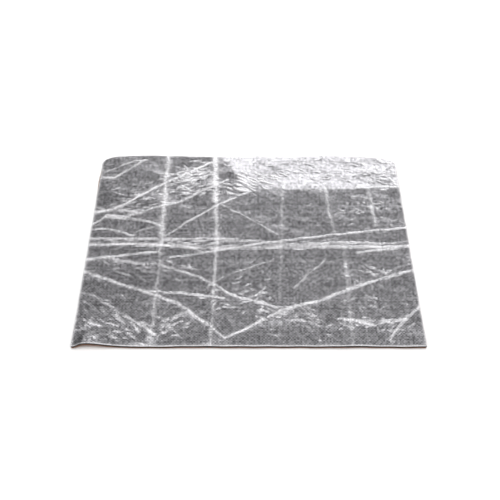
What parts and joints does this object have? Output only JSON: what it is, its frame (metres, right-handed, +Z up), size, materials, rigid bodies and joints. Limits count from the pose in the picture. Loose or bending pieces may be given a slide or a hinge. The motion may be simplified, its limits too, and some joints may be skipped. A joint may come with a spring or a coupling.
{
  "type": "foam sleeping pad",
  "caption": "Thin rectangular foam pad with a creased silver woven facing on dark foam and a rust-brown base, folding in half and across at crease lines.",
  "frame": {"origin": "bottom centre of the flat pad, on the floor", "axes": "+X along the long side to the right, +Y to the rear edge, +Z up from the rust-brown base to the silver facing"},
  "size_m": [0.5, 0.4, 0.005],
  "materials": {
    "facing": "metallised woven tape cloth, satin silver, creased",
    "core": "charcoal closed-cell foam, matt",
    "base": "rust-brown closed-cell foam, matt"
  },
  "bodies": {
    "front_1": {"front_1_base": "base", "front_1_core": "core", "front_1_facing": "facing"},
    "front_2": {"front_2_base": "base", "front_2_core": "core", "front_2_facing": "facing"},
    "front_3": {"front_3_base": "base", "front_3_core": "core", "front_3_facing": "facing"},
    "front_4": {"front_4_base": "base", "front_4_core": "core", "front_4_facing": "facing"},
    "front_5": {"front_5_base": "base", "front_5_core": "core", "front_5_facing": "facing"},
    "front_6": {"front_6_base": "base", "front_6_core": "core", "front_6_facing": "facing"},
    "rear_1": {"rear_1_base": "base", "rear_1_core": "core", "rear_1_facing": "facing"},
    "rear_2": {"rear_2_base": "base", "rear_2_core": "core", "rear_2_facing": "facing"},
    "rear_3": {"rear_3_base": "base", "rear_3_core": "core", "rear_3_facing": "facing"},
    "rear_4": {"rear_4_base": "base", "rear_4_core": "core", "rear_4_facing": "facing"},
    "rear_5": {"rear_5_base": "base", "rear_5_core": "core", "rear_5_facing": "facing"},
    "rear_6": {"rear_6_base": "base", "rear_6_core": "core", "rear_6_facing": "facing"}
  },
  "joints": [
    {"name": "cross_fold_2", "type": "hinge", "parent": "front_3", "child": "front_2", "pos_m": [-0.055, 0, -0.0003], "axis": [0, -1, 0], "range_deg": [0, 176]},
    {"name": "cross_fold_1", "type": "hinge", "parent": "front_2", "child": "front_1", "pos_m": [-0.139, 0, 0.0053], "axis": [0, 1, 0], "range_deg": [0, 176]},
    {"name": "cross_fold_3", "type": "hinge", "parent": "front_3", "child": "front_4", "pos_m": [0.05, 0, 0.0053], "axis": [0, -1, 0], "range_deg": [0, 176]},
    {"name": "cross_fold_4", "type": "hinge", "parent": "front_4", "child": "front_5", "pos_m": [0.1375, 0, -0.0003], "axis": [0, 1, 0], "range_deg": [0, 176]},
    {"name": "cross_fold_5", "type": "hinge", "parent": "front_5", "child": "front_6", "pos_m": [0.2, 0, 0.0053], "axis": [0, -1, 0], "range_deg": [0, 176]},
    {"name": "half_fold", "type": "hinge", "parent": "front_3", "child": "rear_3", "pos_m": [-0.0025, -0.0032, 0.0053], "axis": [-1, 0, 0], "range_deg": [-176, 0]},
    {"name": "half_fold_1", "type": "hinge", "parent": "front_1", "child": "rear_1", "pos_m": [-0.1945, -0.0032, 0.0053], "axis": [-1, 0, 0], "range_deg": [-176, 0]},
    {"name": "half_fold_2", "type": "hinge", "parent": "front_2", "child": "rear_2", "pos_m": [-0.097, -0.0032, 0.0053], "axis": [-1, 0, 0], "range_deg": [-176, 0]},
    {"name": "half_fold_4", "type": "hinge", "parent": "front_4", "child": "rear_4", "pos_m": [0.09375, -0.0032, 0.0053], "axis": [-1, 0, 0], "range_deg": [-176, 0]},
    {"name": "half_fold_5", "type": "hinge", "parent": "front_5", "child": "rear_5", "pos_m": [0.16875, -0.0032, 0.0053], "axis": [-1, 0, 0], "range_deg": [-176, 0]},
    {"name": "half_fold_6", "type": "hinge", "parent": "front_6", "child": "rear_6", "pos_m": [0.225, -0.0032, 0.0053], "axis": [-1, 0, 0], "range_deg": [-176, 0]}
  ],
  "couplings": [
    {"joint": "half_fold_1", "follows": "half_fold", "ratio": 1},
    {"joint": "half_fold_2", "follows": "half_fold", "ratio": 1},
    {"joint": "half_fold_4", "follows": "half_fold", "ratio": 1},
    {"joint": "half_fold_5", "follows": "half_fold", "ratio": 1},
    {"joint": "half_fold_6", "follows": "half_fold", "ratio": 1}
  ]
}
